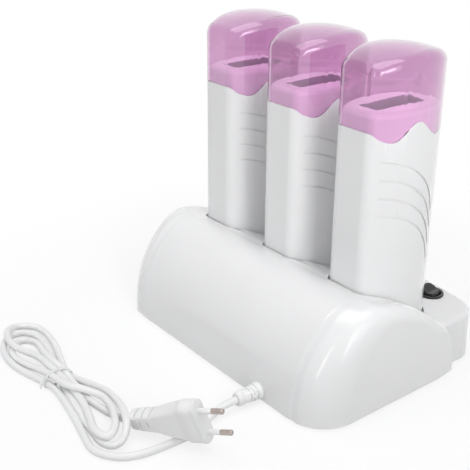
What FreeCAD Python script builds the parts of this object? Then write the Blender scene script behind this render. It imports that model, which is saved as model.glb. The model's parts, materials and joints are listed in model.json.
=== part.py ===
"""Roll-on wax heater set: a mains docking base and three handheld heaters under clear lids.

Millimetres, +Z up. X runs along the row of heaters, -Y is the user's side with the switch, and
+Y is the rear, where the mains lead leaves. The origin is on the table under the base's centre.
"""
import FreeCAD, Part
import math
import os

Vec = FreeCAD.Vector

# ---- clearances ----
FIT = 0.3                  # between separate bodies
SNUG = 0.1                 # between pieces of one body

# ---- the row of heaters ----
COUNT = 3
PITCH = 76.0               # heater to heater along X

# ---- cartridge well ----
WELL_LONG = 49.0           # along Y
WELL_WIDE = 17.4           # along X
WELL_DEPTH = 124.0         # below the neck's top
WELL_CORNER = 2.0
LINER_WALL = 1.2
COLLAR_WALL = 1.5
COLLAR_DEPTH = 18.0
SENSOR_HOLE = 1.1          # radius of the small hole in the collar's front wall
SENSOR_DROP = 4.5

# ---- one heater's plan outline: rear face, bowed sides, rounded nose ----
WELL_BACK = 13.1           # rear face to the well
WELL_FRONT = 17.3          # well to the nose
WELL_SIDE = 19.15          # well to each side's widest place
BODY_WIDTH = WELL_BACK + WELL_LONG + WELL_FRONT
BODY_THICK = WELL_WIDE + 2 * WELL_SIDE
REAR_CORNER = 9.6
SIDE_DROP = 17.7479        # how far each side has curved in where it passes the nose
WIDEST_OFF = 0.8           # the widest place, behind the well's middle
WIDEST_BACK = WELL_BACK + WELL_LONG / 2 - WIDEST_OFF
SIDE_RUN = BODY_WIDTH - WIDEST_BACK
SIDE_RADIUS = (SIDE_RUN ** 2 + SIDE_DROP ** 2) / (2 * SIDE_DROP)
SHOULDER_RADIUS = 14.0
NOSE_RADIUS = 30.0

# ---- where the heaters stand in the base's depth ----
REAR_REACH = 66.5          # heater's rear face to the base's rear
DECK_REACH = 44.6          # heater's nose to the deck's front edge
BODY_REAR = (DECK_REACH + BODY_WIDTH - REAR_REACH) / 2
BODY_NOSE = BODY_REAR - BODY_WIDTH
BODY_MIDDLE = BODY_REAR - BODY_WIDTH / 2
BASE_REAR = BODY_REAR + REAR_REACH
DECK_FRONT = BODY_NOSE - DECK_REACH

# ---- heater heights ----
BODY_FOOT = 26.0           # underside of a docked heater
NECK_TOP = 210.0
LID_RISE = 41.0            # lid's top above the neck's top
LID_TOP = NECK_TOP + LID_RISE
SHELL_WALL = 2.0
NECK_WALL = 1.8
NECK_EDGE = 4.0
NECK_SKIRT = 42.0          # the neck piece's height, down into the shell
LID_WALL = 1.8
LID_CROWN_X = 109.0        # crown radius across the lid
LID_CROWN_Y = 86.0         # crown radius along the lid
LID_EDGE = 9.0
# lower edge of the lid: share of the body's width from the rear face, drop below the neck's top
SEAM = [(0.0, 13.0), (0.053, 16.2), (0.123, 19.3), (0.17, 20.1), (0.22, 19.4), (0.296, 15.1), (0.365, 10.0),
        (0.427, 7.8), (0.485, 8.5), (0.555, 12.5), (0.63, 17.5), (0.699, 20.4), (0.762, 21.0),
        (0.831, 19.7), (0.919, 17.0), (1.02, 15.5)]
SEAM_LOWEST = max(drop for share, drop in SEAM)

# ---- grooves on the wide faces ----
GROOVES = 4
GROOVE_DROP = 33.0         # the highest groove's start, below the neck's top
GROOVE_STEP = 12.95
GROOVE_LINE = [(0.098, 0.0), (0.472, 11.2), (0.78, 46.5)]    # share of the width, drop from the start
GROOVE_WIDE = 1.5
GROOVE_DEEP = 0.5

# ---- inside a heater ----
ELEMENT_LONG = 38.0
ELEMENT_TALL = 60.0
ELEMENT_THICK = 3.2
ELEMENT_UP = 18.0          # above the well's floor
ELEMENT_EDGE = 1.0
CLIP_WIDE = 3.0
CLIP_PROUD = 0.8
CLIP_OVER = 4.0            # past the element at each end
CUTOUT_WIDE = 11.0
CUTOUT_TALL = 18.0
CUTOUT_THICK = 2.4
CUTOUT_UP = 32.0
CUTOUT_LEG = 0.8
LEAD_RADIUS = 0.9
LAMP_RADIUS = 2.2
LAMP_UP = 66.0             # above the heater's foot

# ---- heater foot ----
FOOT_TALL = 14.0
FOOT_SKIN = 2.4
SOCKET_WALL = 2.0
SOCKET_TALL = 9.0
STAY_SPREAD = 42.0
STAY_THICK = 2.4

# ---- docks ----
DOCK_GAP = 1.5
DOCK_CORNER = 3.5
DOCK_WALL = 2.0
DOCK_FLOOR = BODY_FOOT - FIT
PEDESTAL_LONG = 30.0
PEDESTAL_WIDE = 20.0
PEDESTAL_RISE = 5.0        # above the dock's floor
PEDESTAL_PLAY_Y = 1.5
PEDESTAL_PLAY_X = 1.0
PEDESTAL_FLANGE = 3.0
RECESS_DEPTH = 6.6         # in a heater's foot, over the pedestal
PIN_RADIUS = 1.6
PIN_SPACING = 16.0
CONTACT_RADIUS = 3.6
CONTACT_THICK = 0.8

# ---- base: the long hump ----
BASE_END = 49.8            # outer heater's centre to the base's end
BASE_HALF = (COUNT - 1) * PITCH / 2 + BASE_END
RIDE = 1.0                 # the shell's lower edge above the table
BASE_WALL = 2.5
END_EASE = 0.3             # flat end of the cavity, inside the wall's inner face
REAR_BULGE = 81.0          # radius of the rear wall's curve
REAR_SPRING = 8.6          # height where the rear wall starts to curve
BROW_Z = 78.3              # top of the slope, in line with the heaters' rear faces
CREST_SLOPE = 0.21
CREST_ROUND = 33.0
HUMP_TOE = 0.6             # the slope's foot in front of the heaters' noses
FALL = [(0.178, 4.0), (0.4, 12.0), (0.656, 25.9), (0.866, 38.8), (0.96, 58.3)]   # share of the run, drop
END_PLAN = 31.0            # plan radius of the rear corners
END_TOP = 13.0             # rounding between the ends and the top
EAR_BACK = 49.0            # where the ends start to curve in, behind the heaters' rear faces
EAR_RADIUS = 150.0
HUMP_FRONT = BODY_NOSE - HUMP_TOE

# ---- base: the deck in front ----
DECK_INSET = 8.8           # behind the hump's ends
DECK_TOP = 40.0
DECK_CORNER = 24.0
DECK_BOW = 690.0           # plan radius of the front
DECK_DRAFT = 1.4
DECK_EDGE = 4.5

# ---- underside ----
PLATE_THICK = 2.4
PAD_RADIUS = 7.0
PAD_SEAT = 1.0
PAD_EDGE = 0.6
PAD_IN = 27.5              # rear pads, in from the base's ends
PAD_REAR = 27.3            # rear pads, in from the base's rear
PAD_FRONT = 27.3           # front pads, in from the deck's front
PAD_STEP = 8.0             # front pads, further in from the ends
BOSS_RADIUS = 3.6
BOSS_SEAT = 0.6
SCREW_RADIUS = 1.45
SCREW_HEAD = 2.8
SCREW_SINK = 1.7
SCREW_BITE = 8.6           # above the bottom plate
SCREW_SIDE_IN = 12.8       # side screws, in from the base's ends
SCREW_EDGE_IN = 21.3       # front and rear screws, in from the edges
VENT_WIDE = 2.4
VENT_STEP = 5.0
VENT_LONG = 20.0
VENTS = 7
VENT_REAR = 36.0           # slots' rear ends, in from the base's rear

# ---- round rocker switch ----
SWITCH_AHEAD = 22.6        # in front of the first heater's nose
BARREL_RADIUS = 9.0
BEZEL_LIP = 1.2            # the flange, past the barrel
BEZEL_RADIUS = BARREL_RADIUS + BEZEL_LIP
BEZEL_RISE = 1.6
BEZEL_EDGE = 0.7
BARREL_DEPTH = 15.0
ROCKER_WELL = 7.5
BARREL_WALL = 0.8
ROCKER_RADIUS = BARREL_RADIUS - BARREL_WALL - FIT
ROCKER_TILT = 10.0
ROCKER_SLOPE = 11.0
ROCKER_RIDGE = 1.6
AXLE_RADIUS = 1.0
AXLE_PLAY = 0.05
DISH_MARGIN = 2.4          # the dish, past the flange
DISH_RADIUS = BEZEL_RADIUS + DISH_MARGIN
DISH_DEEP = 0.5
TAB_WIDE = 4.8
TAB_THICK = 0.8
TAB_LONG = 8.0
TAB_SPACING = 9.0

# ---- wiring in the base ----
BLOCK_WIDE = 18.0
BLOCK_LONG = 12.0
BLOCK_TALL = 10.0
BLOCK_BACK = 21.0          # terminal block's rear, in from the base's rear
TERMINAL_RADIUS = 2.0
TERMINAL_SPACING = 9.0
WIRE_RADIUS = 1.1

# ---- mains lead: gland, lead, hank ----
CORD_RADIUS = 2.8
EXIT_X = -61.5
EXIT_Z = 7.8
RELIEF_LENGTH = 21.2
RELIEF_ROOT = 5.4
RELIEF_TIP = 4.3
RELIEF_NECK = 4.4
RELIEF_GRIP = 8.0          # neck inside the rear wall
RELIEF_SLITS = 4
RELIEF_STEP = 3.7
FLANGE_RADIUS = 6.8
FLANGE_THICK = 2.6

LEAD_ROUTE = [(-61.3, 125.4, 7.8), (-61.6, 137.3, 4.4), (-65.3, 150.3, 2.9), (-69.2, 163.1, 2.9),
              (-69.5, 176.0, 2.9), (-67.5, 188.0, 2.9), (-64.5, 198.9, 2.9), (-58.9, 208.9, 2.9),
              (-50.0, 216.2, 2.9), (-39.2, 219.3, 2.9)]
HANK_OUTLINE = [(35.3, 212.2), (60.0, 216.5), (86.6, 219.8), (108.3, 218.2), (126.9, 207.5), (139.7, 194.7),
                (138.6, 183.7), (129.6, 177.6), (112.8, 176.4), (88.2, 182.1), (62.6, 189.7),
                (40.0, 192.4), (23.2, 187.2), (5.5, 182.0), (-12.2, 182.2), (-31.8, 186.4), (-49.3, 196.1),
                (-58.9, 205.9), (-60.7, 215.8), (-51.8, 221.4), (-36.2, 221.1), (-14.7, 216.4), (7.8, 212.3)]
HANK_EYES = [[(102.3, 210.1), (119.9, 199.4), (117.9, 190.4), (98.1, 190.2), (78.5, 195.4), (66.7, 200.7),
              (80.5, 204.8)],
             [(7.7, 199.9), (-6.1, 196.7), (-21.8, 197.5), (-35.4, 203.3), (-41.2, 209.1), (-29.5, 210.8),
              (-9.9, 207.1)]]
HANK_LOW = 0.1
HANK_HEIGHT = 12.0
TIE_X = 40.0
TIE_REACH = (190.9, 213.8)   # the tie's loop along Y
TIE_RADIUS = 0.8
TIE_BEND = 3.0

# ---- two-pin plug ----
PLUG_FACE = Vec(-87.3, 164.05, 24.9)
PLUG_WAY = Vec(-0.863, -0.430, 0.264)
PLUG_SIDE = Vec(0.141, 0.298, 0.944)
# along the plug from its face, width, thickness
PLUG_STATIONS = [(0.0, 35.0, 13.0), (-4.0, 35.4, 13.7), (-13.0, 33.0, 13.7), (-24.0, 26.0, 13.0),
                 (-36.0, 16.0, 11.5)]
TAIL_LONG = 21.0
TAIL_ROOT = 5.6
TAIL_TIP = 4.3
TAIL_SLITS = 3
TAIL_STEP = 4.4
TAIL_CORE = 2.9            # half of what the slits leave
SLIT_WIDE = 1.4
SLIT_REACH = 12.0
PIN_GAP = 18.6
PLUG_PIN = 2.0
PLUG_PIN_LONG = 19.0
SLEEVE_LONG = 10.0
SLEEVE_ROOT = 4.0          # sleeve inside the body
STUD_RADIUS = 1.2
STUD_PLAY = 0.05

os.makedirs("parts", exist_ok=True)


def save(name, shape):
    """Write one named piece as a STEP file."""
    shape.exportStep("parts/" + name + ".step")


def box(x0, x1, y0, y1, z0, z1):
    return Part.makeBox(x1 - x0, y1 - y0, z1 - z0, Vec(x0, y0, z0))


def post(radius, x, y, z0, z1):
    return Part.makeCylinder(radius, z1 - z0, Vec(x, y, z0))


def rod(radius, start, way, length):
    return Part.makeCylinder(radius, length, start, way)


def prism(wire, z0, z1):
    """A flat wire drawn at z = 0, raised from z0 to z1."""
    face = Part.Face(wire)
    face.translate(Vec(0, 0, z0))
    return face.extrude(Vec(0, 0, z1 - z0))


def joined(shapes):
    return shapes[0].multiFuse(shapes[1:]).removeSplitter()


def arc(a, b, c):
    return Part.Arc(a, b, c).toShape()


def uprights(shape):
    return [e for e in shape.Edges if e.BoundBox.ZLength > 1]


def edges_above(shape, z):
    return [e for e in shape.Edges if e.BoundBox.ZMin > z]


def on_circle(centre, radius, toward):
    """The point of a circle on the line from its centre toward, or away past, another point."""
    way = toward - centre
    way.normalize()
    return centre + way * radius


def arc_between(centre, radius, start, end):
    """The short arc of a circle from start to end."""
    middle = on_circle(centre, radius, (start + end) * 0.5)
    return arc(start, middle, end)


def mirrored(shape):
    return shape.mirror(Vec(0, 0, 0), Vec(1, 0, 0))


def heater_x(index):
    return (index - (COUNT - 1) / 2) * PITCH


# ---------------------------------------------------------------- heater outline

def body_outline(grow=0.0, corner=REAR_CORNER):
    """A heater's plan outline about x = 0, moved outwards by grow: tangent arcs throughout."""
    rear = BODY_REAR + grow
    half = BODY_THICK / 2 + grow
    nose = BODY_NOSE - grow
    side_r = SIDE_RADIUS + grow
    corner_r = corner + grow
    shoulder_r = SHOULDER_RADIUS + grow
    nose_r = NOSE_RADIUS + grow
    side_c = Vec(half - side_r, BODY_REAR - WIDEST_BACK, 0)
    rise = rear - corner_r - side_c.y
    corner_c = Vec(side_c.x + math.sqrt((side_r - corner_r) ** 2 - rise ** 2), rear - corner_r, 0)
    nose_c = Vec(0, nose + nose_r, 0)
    shoulder_c = meeting(side_c, side_r - shoulder_r, nose_c, nose_r - shoulder_r)
    rear_end = Vec(corner_c.x, rear, 0)
    side_top = on_circle(side_c, side_r, corner_c)
    side_low = on_circle(side_c, side_r, shoulder_c)
    nose_end = on_circle(nose_c, nose_r, shoulder_c)
    flank = [arc_between(corner_c, corner_r, rear_end, side_top),
             arc_between(side_c, side_r, side_top, side_low),
             arc_between(shoulder_c, shoulder_r, side_low, nose_end)]
    rear_line = Part.makeLine(Vec(-rear_end.x, rear, 0), rear_end)
    nose_arc = arc(nose_end, Vec(0, nose, 0), Vec(-nose_end.x, nose_end.y, 0))
    edges = [rear_line] + flank + [nose_arc] + [mirrored(e) for e in flank]
    return Part.Wire(Part.__sortEdges__(edges))


def meeting(a, ra, b, rb):
    """Where two circles meet, on the side toward the nose."""
    gap = b - a
    span = gap.Length
    along = (ra ** 2 - rb ** 2 + span ** 2) / (2 * span)
    off = math.sqrt(ra ** 2 - along ** 2)
    gap.normalize()
    side = Vec(-gap.y, gap.x, 0)
    one = a + gap * along + side * off
    two = a + gap * along - side * off
    return one if one.y < two.y else two


def across(wire):
    """A wire drawn in the plane x = 0, extruded right across a heater."""
    face = Part.Face(wire)
    face.translate(Vec(-BODY_THICK, 0, 0))
    return face.extrude(Vec(2 * BODY_THICK, 0, 0))


def seam_tool(lift, low):
    """The space under the wavy seam, raised by lift, across the whole heater and down to low."""
    points = [Vec(0, BODY_REAR - share * BODY_WIDTH, NECK_TOP - drop + lift) for share, drop in SEAM]
    points.insert(0, Vec(0, BODY_REAR + FIT, points[0].z))
    curve = Part.BSplineCurve()
    curve.interpolate(points)
    first = points[0]
    last = points[-1]
    low_first = Vec(0, first.y, low)
    low_last = Vec(0, last.y, low)
    return across(Part.Wire([curve.toShape(), Part.makeLine(last, low_last),
                             Part.makeLine(low_last, low_first), Part.makeLine(low_first, first)]))


def groove_band(index):
    """One groove's cutter: a thin arched band seen from the side, right through the heater."""
    top = NECK_TOP - GROOVE_DROP - index * GROOVE_STEP
    line = [Vec(0, BODY_REAR - share * BODY_WIDTH, top - drop) for share, drop in GROOVE_LINE]
    circle = Part.Arc(*line).toShape().Curve
    half = GROOVE_WIDE / 2
    outer = [on_circle(circle.Center, circle.Radius + half, p) for p in line]
    inner = [on_circle(circle.Center, circle.Radius - half, p) for p in line]
    cap_start = line[0] + (line[0] - line[1]).normalize() * half
    cap_end = line[2] + (line[2] - line[1]).normalize() * half
    return across(Part.Wire([arc(*outer), arc(outer[2], cap_end, inner[2]), arc(*inner[::-1]),
                             arc(inner[0], cap_start, outer[0])]))


# ---------------------------------------------------------------- heater pieces, about x = 0

def heater_shell():
    """The white shell under the wavy seam, with four grooves on each wide side."""
    seam = seam_tool(0, BODY_FOOT)
    outer = prism(body_outline(), BODY_FOOT, NECK_TOP).common(seam)
    inner = prism(body_outline(-SHELL_WALL), BODY_FOOT - 1, NECK_TOP + 1)
    shell = outer.cut(inner)
    skin = outer.cut(prism(body_outline(-GROOVE_DEEP), BODY_FOOT - 1, NECK_TOP + 1))
    bands = [groove_band(i).common(skin) for i in range(GROOVES)]
    return shell.cut(bands).cut(lamp_lens(0))


def heater_neck():
    """The white neck under the lid: outer wall, top rim, and the collar of the cartridge slot."""
    inset = SHELL_WALL + SNUG
    low = NECK_TOP - NECK_SKIRT
    outer = prism(body_outline(-inset), low, NECK_TOP)
    outer = outer.makeFillet(NECK_EDGE, edges_above(outer, NECK_TOP - SNUG))
    inner = prism(body_outline(-inset - NECK_WALL), low - 1, NECK_TOP - 2 * NECK_WALL)
    collar_low = NECK_TOP - COLLAR_DEPTH
    collar = well_prism(COLLAR_WALL, collar_low, NECK_TOP - NECK_WALL)
    slot = well_prism(0, collar_low - 1, NECK_TOP + 1)
    slot = slot.makeFillet(WELL_CORNER, uprights(slot))
    sensor = rod(SENSOR_HOLE, Vec(0, well_front() + 1, NECK_TOP - SENSOR_DROP), Vec(0, -1, 0),
                 1 + 2 * COLLAR_WALL)
    return joined([outer.cut(inner), collar]).cut(slot).cut(sensor)


def well_front():
    return BODY_NOSE + WELL_FRONT


def well_floor():
    return NECK_TOP - WELL_DEPTH


def well_prism(grow, z0, z1):
    half = WELL_WIDE / 2 + grow
    return box(-half, half, well_front() - grow, well_front() + WELL_LONG + grow, z0, z1)


def heater_liner():
    """The aluminium can that holds and heats the cartridge."""
    top = NECK_TOP - COLLAR_DEPTH
    can = well_prism(LINER_WALL, well_floor() - LINER_WALL, top)
    can = can.makeFillet(WELL_CORNER, uprights(can))
    return can.cut(well_prism(0, well_floor(), top + 1))


def heater_elements():
    """Two flat heating elements, clipped on the can's wide sides."""
    x = WELL_WIDE / 2 + LINER_WALL
    middle = well_front() + WELL_LONG / 2
    low = well_floor() + ELEMENT_UP
    high = low + ELEMENT_TALL
    slab = box(x, x + ELEMENT_THICK, middle - ELEMENT_LONG / 2, middle + ELEMENT_LONG / 2, low, high)
    slab = slab.makeChamfer(ELEMENT_EDGE, [e for e in slab.Edges
                                           if e.BoundBox.XLength > 1 and e.Length < 2 * ELEMENT_THICK])
    clip = box(x, x + ELEMENT_THICK + CLIP_PROUD, middle - CLIP_WIDE / 2, middle + CLIP_WIDE / 2,
               low - CLIP_OVER, high + CLIP_OVER)
    half = joined([slab, clip])
    return Part.makeCompound([half, mirrored(half)])


def heater_thermostat():
    """The thermal cut-out strapped to the can's front end."""
    rear = well_front() - LINER_WALL
    front = rear - CUTOUT_THICK
    low = well_floor() + CUTOUT_UP
    half = CUTOUT_WIDE / 2
    case = box(-half, half, front, rear, low, low + CUTOUT_TALL)
    case = case.makeFillet(CUTOUT_LEG, uprights(case))
    middle = (front + rear) / 2
    legs = [box(x - CUTOUT_LEG, x + CUTOUT_LEG, middle - CUTOUT_LEG / 2, middle + CUTOUT_LEG / 2,
                low - CUTOUT_TALL / 2, low + CUTOUT_LEG) for x in (-half / 2, half / 2)]
    return joined([case] + legs)


def recess_box(grow, z0, z1):
    """The recess over a dock's pedestal, or the socket round it."""
    half_x = PEDESTAL_WIDE / 2 + PEDESTAL_PLAY_X + grow
    half_y = PEDESTAL_LONG / 2 + PEDESTAL_PLAY_Y + grow
    return box(-half_x, half_x, BODY_MIDDLE - half_y, BODY_MIDDLE + half_y, z0, z1)


def heater_foot():
    """The closure at a heater's foot: a cup with a socket over the dock's pedestal and two stays."""
    inset = SHELL_WALL + SNUG
    cup = prism(body_outline(-inset), BODY_FOOT, BODY_FOOT + FOOT_TALL)
    hollow = prism(body_outline(-inset - NECK_WALL), BODY_FOOT + FOOT_SKIN, BODY_FOOT + FOOT_TALL + 1)
    socket = recess_box(SOCKET_WALL, BODY_FOOT, BODY_FOOT + SOCKET_TALL)
    half = WELL_WIDE / 2
    stays = [box(-half, half, y - STAY_THICK / 2, y + STAY_THICK / 2, BODY_FOOT + 1,
                 well_floor() - LINER_WALL)
             for y in (BODY_MIDDLE - STAY_SPREAD / 2, BODY_MIDDLE + STAY_SPREAD / 2)]
    body = joined([cup.cut(hollow), socket] + stays)
    return body.cut(recess_box(0, BODY_FOOT - 1, BODY_FOOT + RECESS_DEPTH))


def pin_places():
    return [BODY_MIDDLE - PIN_SPACING / 2, BODY_MIDDLE + PIN_SPACING / 2]


def heater_contacts():
    """Two contact plates in the roof of the foot's recess."""
    roof = BODY_FOOT + RECESS_DEPTH
    return Part.makeCompound([post(CONTACT_RADIUS, 0, y, roof - CONTACT_THICK, roof) for y in pin_places()])


def heater_leads():
    """Insulated leads from the foot up to the heating elements."""
    out = WELL_WIDE / 2 + LINER_WALL + ELEMENT_THICK / 2
    top = well_floor() + ELEMENT_UP - SNUG
    low = BODY_FOOT + SOCKET_TALL
    wires = []
    for side, y in zip((-1, 1), pin_places()):
        start = Vec(side * CONTACT_RADIUS, y, low)
        turn = Vec(side * out, y, (low + well_floor()) / 2)
        wires.append(bent_tube([start, turn, Vec(side * out, y, top)], LEAD_RADIUS))
    return Part.makeCompound(wires)


def lamp_lens(gap=SNUG):
    """The small heating lamp in the nose of the shell."""
    return rod(LAMP_RADIUS - gap, Vec(0, BODY_NOSE + 2 * SHELL_WALL, BODY_FOOT + LAMP_UP), Vec(0, -1, 0),
               2 * SHELL_WALL + FIT)


def lid_solid(inset):
    """The lid's form: the heater's outline under a crown that is domed both ways."""
    top = LID_TOP - inset
    low = NECK_TOP - SEAM_LOWEST - 1
    spine = LID_CROWN_Y - inset
    rise = LID_CROWN_X - inset
    half = BODY_THICK / 2 + 1
    drop = rise - math.sqrt(rise ** 2 - half ** 2)
    pivot = Vec(0, BODY_MIDDLE, top - spine)
    core = pivot.z + (low - pivot.z) / 2
    left = Vec(-half, BODY_MIDDLE, top - drop)
    right = Vec(half, BODY_MIDDLE, top - drop)
    low_left = Vec(-half, BODY_MIDDLE, core)
    low_right = Vec(half, BODY_MIDDLE, core)
    wire = Part.Wire([arc(left, Vec(0, BODY_MIDDLE, top), right), Part.makeLine(right, low_right),
                      Part.makeLine(low_right, low_left), Part.makeLine(low_left, left)])
    crown = Part.Face(wire)
    crown.rotate(pivot, Vec(1, 0, 0), -80)
    crown = crown.revolve(pivot, Vec(1, 0, 0), 160)
    form = prism(body_outline(-inset), low, LID_TOP + 1).common(crown)
    return form.makeFillet(LID_EDGE - inset, edges_above(form, NECK_TOP))


def heater_lid():
    lid = lid_solid(0).cut(lid_solid(LID_WALL))
    return lid.cut(seam_tool(FIT, NECK_TOP - 2 * SEAM_LOWEST))


# ---------------------------------------------------------------- base

def hump_profile(inset):
    """The base's side profile as a closed wire in the plane x = 0, moved inwards by inset."""
    foot = under_edge(inset)
    rear = BASE_REAR - inset
    radius = REAR_BULGE - inset
    bulge = Vec(0, BASE_REAR - REAR_BULGE, REAR_SPRING)
    brow = Vec(0, BODY_REAR, BROW_Z)
    top_way = Vec(0, 1, CREST_SLOPE).normalize() * -1
    inward = Vec(0, -top_way.z, top_way.y)
    crest_r = CREST_ROUND - inset
    round_c = rounding_centre(bulge, radius - crest_r, brow + inward * CREST_ROUND, top_way * -1)
    on_top = round_c - inward * crest_r
    on_bulge = on_circle(bulge, radius, round_c)
    spring = Vec(0, rear, REAR_SPRING)
    run = HUMP_FRONT - BODY_REAR
    fall = [brow + inward * inset]
    fall += [Vec(0, BODY_REAR + share * run + inset * 0.5, BROW_Z - drop - inset * 0.8) for share, drop in FALL]
    fall.append(Vec(0, HUMP_FRONT + inset, foot))
    curve = Part.BSplineCurve()
    curve.interpolate(Points=fall, InitialTangent=top_way * 20, FinalTangent=Vec(0, -4, -20))
    edges = [Part.makeLine(Vec(0, rear, foot), spring), arc_between(bulge, radius, spring, on_bulge),
             arc_between(round_c, crest_r, on_bulge, on_top), Part.makeLine(on_top, fall[0]),
             curve.toShape(), Part.makeLine(fall[-1], Vec(0, rear, foot))]
    return Part.Wire(edges)


def under_edge(inset):
    """The height of the open lower edge: an inner form runs on below the outer one."""
    return RIDE - min(inset, 0.8)


def rounding_centre(centre, reach, start, way):
    """The point of the line from start along way, at a distance of reach from centre."""
    off = start - centre
    b = off.dot(way)
    c = off.dot(off) - reach ** 2
    return start + way * (math.sqrt(b * b - c) - b)


def squeezed(wire, x, inset):
    """The profile at a station near the end: drawn in toward the front and down."""
    end = BASE_HALF - inset
    plan = END_PLAN - inset
    top = END_TOP - inset
    into = x - (end - plan)
    pull = plan - math.sqrt(max(plan ** 2 - into ** 2, 0))
    over = max(x - (end - top), 0)
    sink = top - math.sqrt(max(top ** 2 - over ** 2, 0))
    depth = BASE_REAR - HUMP_FRONT
    sy = 1 - (pull + sink * 0.6) / depth
    sz = 1 - sink / (BROW_Z - RIDE)
    front = HUMP_FRONT + sink * 0.6
    m = FreeCAD.Matrix()
    m.A22 = sy
    m.A24 = front - HUMP_FRONT * sy
    m.A33 = sz
    m.A34 = RIDE - RIDE * sz
    shape = wire.transformGeometry(m)
    shape.translate(Vec(x, 0, 0))
    return Part.Wire(shape.Edges)


def hump_solid(inset):
    """The long hump: a prism between two ends that round over in plan and at the top."""
    end = BASE_HALF - inset
    plan = END_PLAN - inset
    profile = hump_profile(inset)
    face = Part.Face(profile)
    face.translate(Vec(-(end - plan), 0, 0))
    middle = face.extrude(Vec(2 * (end - plan), 0, 0))
    turns = (0, 14, 27, 39, 50, 60, 69, 77, 84, 90)
    stations = [end - plan + plan * math.sin(math.radians(t)) for t in turns]
    loft = Part.makeLoft([squeezed(profile, x, inset) for x in stations], True, False)
    return joined([middle, loft, mirrored(loft)]).common(ear_prism(inset))


def ear_prism(inset):
    """The plan limit of the hump: straight ends that curve in toward the front."""
    end = BASE_HALF - inset
    rear = BASE_REAR + 5
    start = BODY_REAR - EAR_BACK
    front = HUMP_FRONT - 5
    radius = EAR_RADIUS - inset
    reach = start - front
    draw = radius - math.sqrt(radius ** 2 - reach ** 2)
    half_draw = radius - math.sqrt(radius ** 2 - (reach / 2) ** 2)
    edges = []
    for s in (-1, 1):
        corner = Vec(s * end, start, 0)
        edges.append(Part.makeLine(Vec(s * end, rear, 0), corner))
        edges.append(arc(corner, Vec(s * (end - half_draw), start - reach / 2, 0),
                         Vec(s * (end - draw), front, 0)))
    edges.append(Part.makeLine(Vec(-end, rear, 0), Vec(end, rear, 0)))
    edges.append(Part.makeLine(Vec(draw - end, front, 0), Vec(end - draw, front, 0)))
    return prism(Part.Wire(Part.__sortEdges__(edges)), -5, BROW_Z + REAR_BULGE)


def deck_wire(inset, z):
    """A deck outline: straight sides, rounded corners and a gently bowed front."""
    half = BASE_HALF - DECK_INSET - inset
    radius = DECK_CORNER - inset
    bow = DECK_BOW - inset
    bow_c = Vec(0, DECK_FRONT + DECK_BOW, z)
    corner_x = half - radius
    corner_c = Vec(corner_x, bow_c.y - math.sqrt((bow - radius) ** 2 - corner_x ** 2), z)
    side = Vec(half, corner_c.y, z)
    turn = on_circle(bow_c, bow, corner_c)
    back = Vec(half, 0, z)
    flank = [Part.makeLine(back, side), arc_between(corner_c, radius, side, turn)]
    front = arc(turn, Vec(0, bow_c.y - bow, z), Vec(-turn.x, turn.y, z))
    rear = Part.makeLine(Vec(-half, 0, z), back)
    return Part.Wire(Part.__sortEdges__(flank + [front, rear] + [mirrored(e) for e in flank]))


def deck_solid(inset):
    top = DECK_TOP - inset
    block = Part.makeLoft([deck_wire(inset, under_edge(inset)), deck_wire(inset + DECK_DRAFT, top)], True, True)
    rim = [e for e in edges_above(block, top - 0.01) if e.BoundBox.YMin < -1]
    return block.makeFillet(DECK_EDGE - inset * 0.8, rim)


def base_form(inset):
    return joined([hump_solid(inset), deck_solid(inset)])


def dock_prism(grow, z0, z1, index):
    tool = prism(body_outline(DOCK_GAP + grow, DOCK_CORNER), z0, z1)
    tool.translate(Vec(heater_x(index), 0, 0))
    return tool


def screw_places():
    mid = PITCH / 2
    side = BASE_HALF - SCREW_SIDE_IN
    rear = BASE_REAR - SCREW_EDGE_IN
    front = DECK_FRONT + SCREW_EDGE_IN
    return [(-mid, rear), (mid, rear), (-side, 0.0), (side, 0.0), (-mid, front), (mid, front)]


def switch_at(z):
    return Vec(heater_x(0), BODY_NOSE - SWITCH_AHEAD, z)


def base_housing():
    """The moulded housing: hump and deck, open below, with three dock openings and screw bosses."""
    outer = base_form(0)
    end = BASE_HALF - BASE_WALL - END_EASE
    cavity = hump_solid(BASE_WALL).common(box(-end, end, -BASE_REAR, BASE_REAR, -10, 2 * BROW_Z))
    shell = outer.cut(joined([cavity, deck_solid(BASE_WALL)]))
    seat = RIDE + PLATE_THICK + BOSS_SEAT
    bosses = [post(BOSS_RADIUS, x, y, seat, 2 * BROW_Z).common(outer) for x, y in screw_places()]
    housing = joined([shell] + bosses)
    docks = [dock_prism(0, DOCK_FLOOR, 2 * BROW_Z, i) for i in range(COUNT)]
    bores = [post(SCREW_RADIUS + SNUG, x, y, 0, seat + SCREW_BITE) for x, y in screw_places()]
    at = switch_at(DECK_TOP)
    barrel = post(BARREL_RADIUS + SNUG, at.x, at.y, DECK_TOP - 2 * BASE_WALL, DECK_TOP + 1)
    dish = post(DISH_RADIUS, at.x, at.y, DECK_TOP - DISH_DEEP, DECK_TOP + 1)
    gland = rod(RELIEF_NECK + SNUG, Vec(EXIT_X, BASE_REAR - 4 * BASE_WALL, EXIT_Z), Vec(0, 1, 0), 8 * BASE_WALL)
    return housing.cut(docks + bores + [barrel, dish, gland])


def dock_tubs():
    """The cups under the dock openings, each up to the inside of the housing."""
    room = base_form(BASE_WALL + SNUG)
    tubs = []
    for i in range(COUNT):
        cup = dock_prism(DOCK_WALL, DOCK_FLOOR - DOCK_WALL, 2 * BROW_Z, i).common(room)
        cup = cup.cut(dock_prism(0, DOCK_FLOOR, 3 * BROW_Z, i))
        tubs.append(cup.cut(pedestal_box(i, SNUG, 0, 2 * DOCK_FLOOR)))
    return tubs


def pedestal_box(index, grow, z0, z1):
    x = heater_x(index)
    half_x = PEDESTAL_WIDE / 2 + grow
    half_y = PEDESTAL_LONG / 2 + grow
    return box(x - half_x, x + half_x, BODY_MIDDLE - half_y, BODY_MIDDLE + half_y, z0, z1)


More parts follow.
